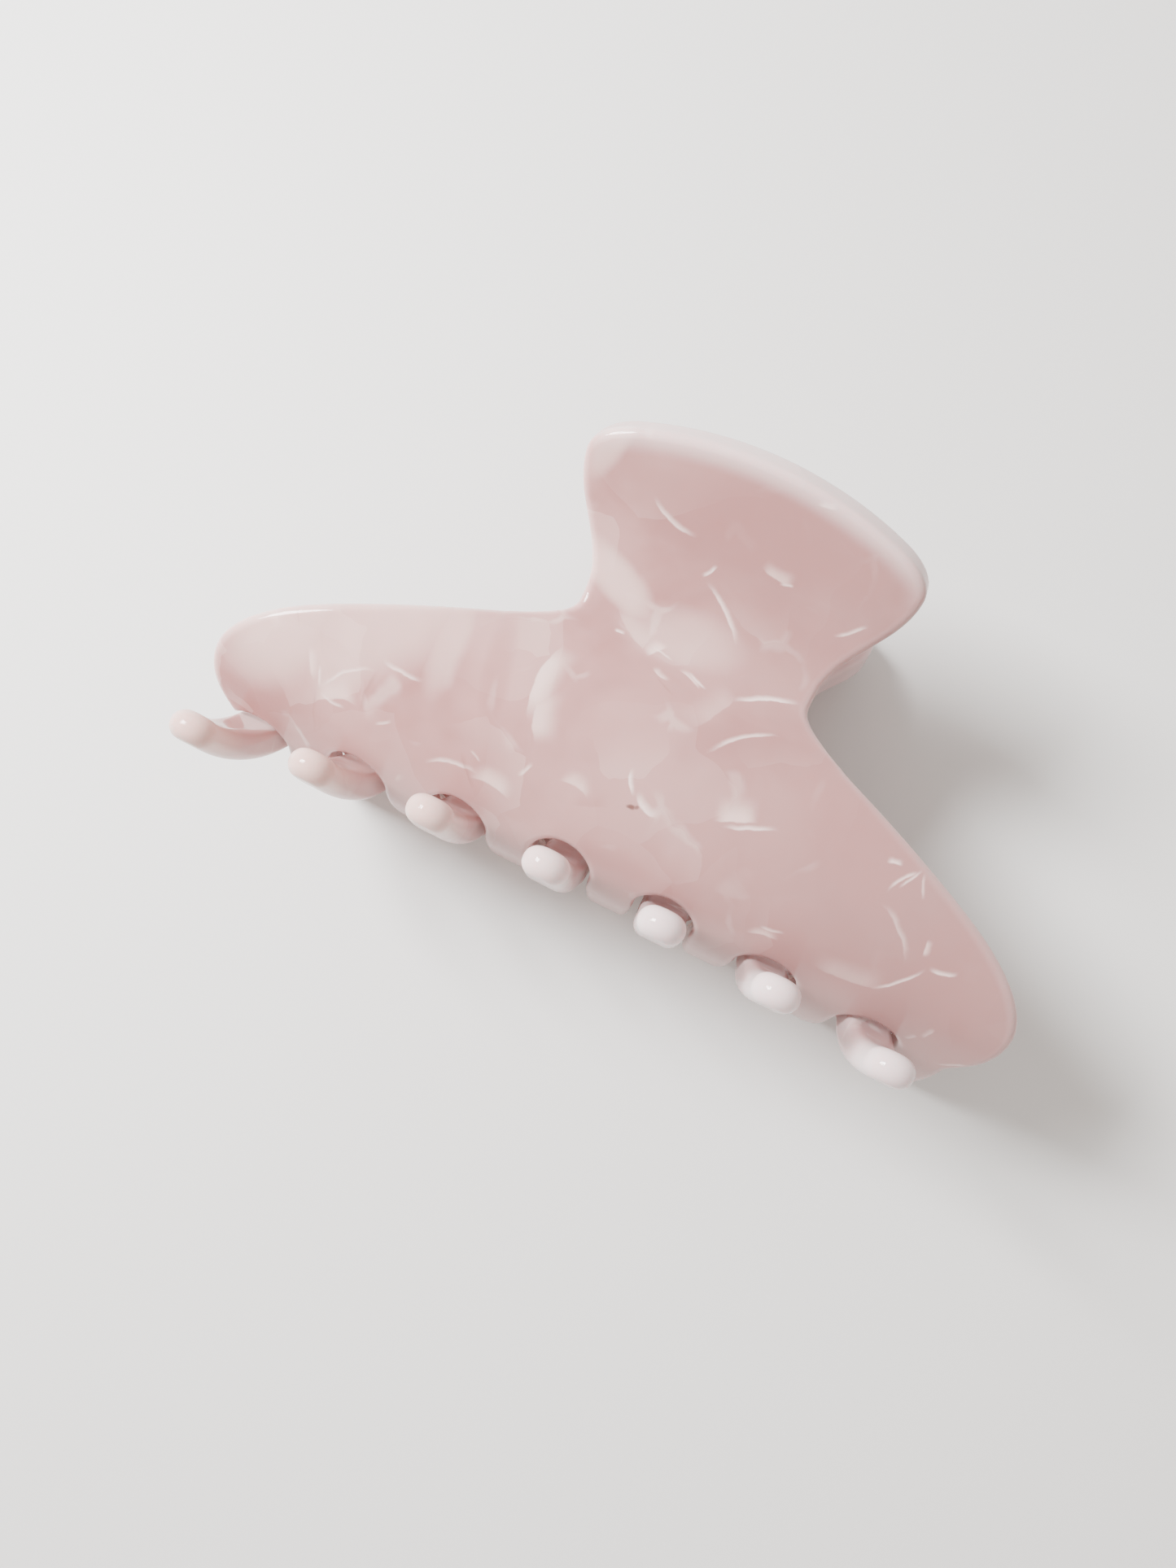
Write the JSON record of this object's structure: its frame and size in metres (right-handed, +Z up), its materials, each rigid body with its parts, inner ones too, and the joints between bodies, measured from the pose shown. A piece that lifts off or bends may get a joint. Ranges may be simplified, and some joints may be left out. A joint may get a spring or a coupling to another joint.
{
  "type": "claw clip",
  "caption": "Large hair claw clip: identical bent acetate jaws with interlocking teeth and flared thumb grips, on a sprung pin hinge.",
  "frame": {"origin": "Under the middle of the clip's box, on the surface that the closed clip lies on.", "axes": "+X along the hinge pin, +Y from the teeth towards the thumb grips, +Z up, across the two jaws, from the back jaw to the front jaw."},
  "size_m": [0.1004, 0.0568, 0.0459],
  "materials": {
    "acetate": "tumble-polished pearlescent cellulose acetate, pale pink with marbled flakes",
    "steel_pin": "nickel-plated steel",
    "spring_steel": "bright drawn spring wire"
  },
  "bodies": {
    "back": {"back_jaw": "acetate", "back_lug_left": "acetate", "back_lug_right": "acetate", "hinge_pin": "steel_pin", "pin_cap": "steel_pin", "torsion_spring": "spring_steel"},
    "front": {"front_jaw": "acetate", "front_lug_left": "acetate", "front_lug_right": "acetate"}
  },
  "joints": [
    {"name": "jaw_hinge", "type": "hinge", "parent": "back", "child": "front", "pos_m": [0, 0.00672, 0.02295], "axis": [-1, 0, 0], "range_deg": [0, 78], "stiffness_Nm_per_rad": 0.12, "springref_deg": -51.57, "deforming": ["torsion_spring"]}
  ]
}
